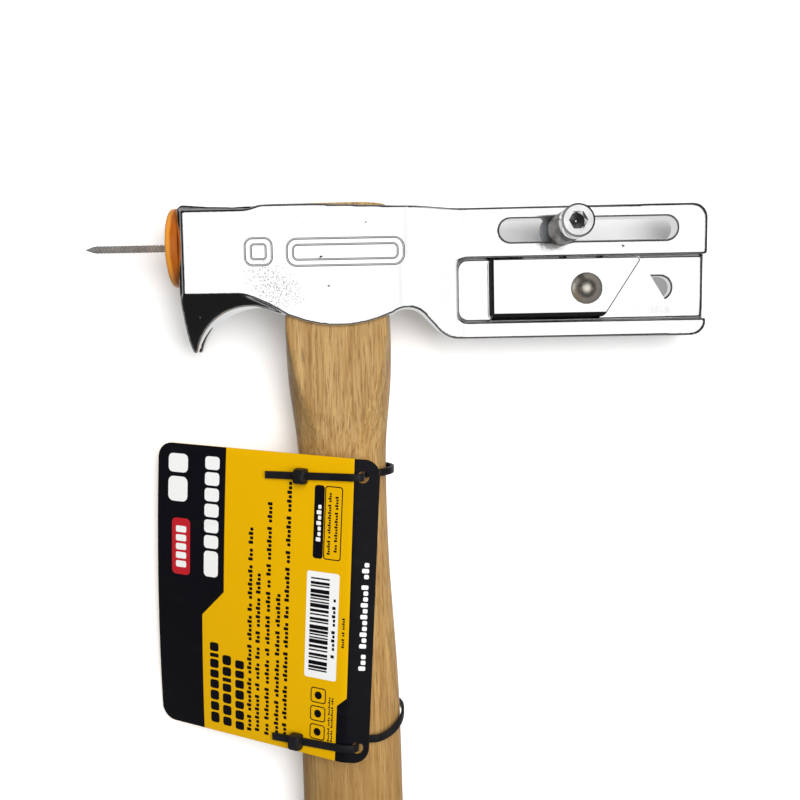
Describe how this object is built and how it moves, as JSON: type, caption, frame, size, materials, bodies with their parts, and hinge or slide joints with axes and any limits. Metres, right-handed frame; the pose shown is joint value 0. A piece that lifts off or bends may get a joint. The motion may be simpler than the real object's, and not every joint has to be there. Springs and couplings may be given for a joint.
{
  "type": "roofing hatchet",
  "caption": "Roofing hatchet with a magnetic poll and claw, wooden handle, sliding shingle gauge, clamped trapezoid blade, cap nail on the magnet and a hang tag tied to the handle.",
  "frame": {"origin": "where the handle's axis crosses the magnet's axis, dropped to the back cheek that the tool lies on", "axes": "+X along the head towards the blade, +Y up the handle towards the head's top, +Z out of the front cheek"},
  "size_m": [0.2013, 0.3438, 0.0432],
  "materials": {
    "chrome_plate": "forged and chrome plated",
    "hickory": "sanded and waxed",
    "wedge_wood": "end grain",
    "dark_steel": "plain",
    "magnet_plate": "nickel plated",
    "nail_steel": "bright",
    "cap_plastic": "moulded orange",
    "bright_steel": "polished",
    "zinc_plate": "zinc plated",
    "blade_steel": "ground",
    "printed_card": "printed and laminated",
    "black_nylon": "moulded"
  },
  "bodies": {
    "tool": {"head": "chrome_plate", "handle": "hickory", "wood_wedge": "wedge_wood", "steel_wedges": "dark_steel", "magnet": "magnet_plate"},
    "cap_nail": {"nail": "nail_steel", "nail_cap": "cap_plastic"},
    "gauge_foot": {"gauge_washer": "zinc_plate", "gauge_nut": "zinc_plate"},
    "gauge_post": {"gauge_sleeve": "bright_steel"},
    "gauge_bolt": {"gauge_screw": "bright_steel"},
    "blade_clamp": {"blade": "blade_steel", "clamp_plate": "chrome_plate", "clamp_bolt": "bright_steel"},
    "clamp_washers": {"clamp_washer": "zinc_plate", "spring_washer": "zinc_plate"},
    "clamp_nut": {"wing_nut": "zinc_plate"},
    "tag": {"hang_tag": "printed_card", "upper_tie": "black_nylon", "lower_tie": "black_nylon"}
  },
  "joints": [
    {"name": "nail_pull", "type": "slide", "parent": "tool", "child": "cap_nail", "axis": [-1, 0, 0], "range_m": [0, 0.03]},
    {"name": "gauge_slide", "type": "slide", "parent": "tool", "child": "gauge_foot", "axis": [1, 0, 0], "range_m": [-0.017, 0.0335]},
    {"name": "gauge_lift", "type": "slide", "parent": "gauge_foot", "child": "gauge_post", "axis": [0, 0, 1], "range_m": [0, 0.002]},
    {"name": "gauge_screw_turn", "type": "hinge", "parent": "gauge_post", "child": "gauge_bolt", "pos_m": [0.0724, 0.0035, 0.013], "axis": [0, 0, 1], "range_deg": [0, 720]},
    {"name": "blade_slide", "type": "slide", "parent": "tool", "child": "blade_clamp", "axis": [1, 0, 0], "range_m": [-0.009, 0.025]},
    {"name": "washer_drop", "type": "slide", "parent": "blade_clamp", "child": "clamp_washers", "axis": [0, 0, -1], "range_m": [0, 0.001]},
    {"name": "wing_nut_turn", "type": "hinge", "parent": "clamp_washers", "child": "clamp_nut", "pos_m": [0.0798, -0.0155, 0.004], "axis": [0, 0, -1], "range_deg": [0, 360]},
    {"name": "tag_slide", "type": "slide", "parent": "tool", "child": "tag", "axis": [0, 1, 0], "range_m": [-0.008, 0.008]}
  ],
  "couplings": [
    {"joint": "gauge_screw_turn", "follows": "gauge_lift", "rad_per_m": 6283.2},
    {"joint": "wing_nut_turn", "follows": "washer_drop", "rad_per_m": 6283.2}
  ]
}
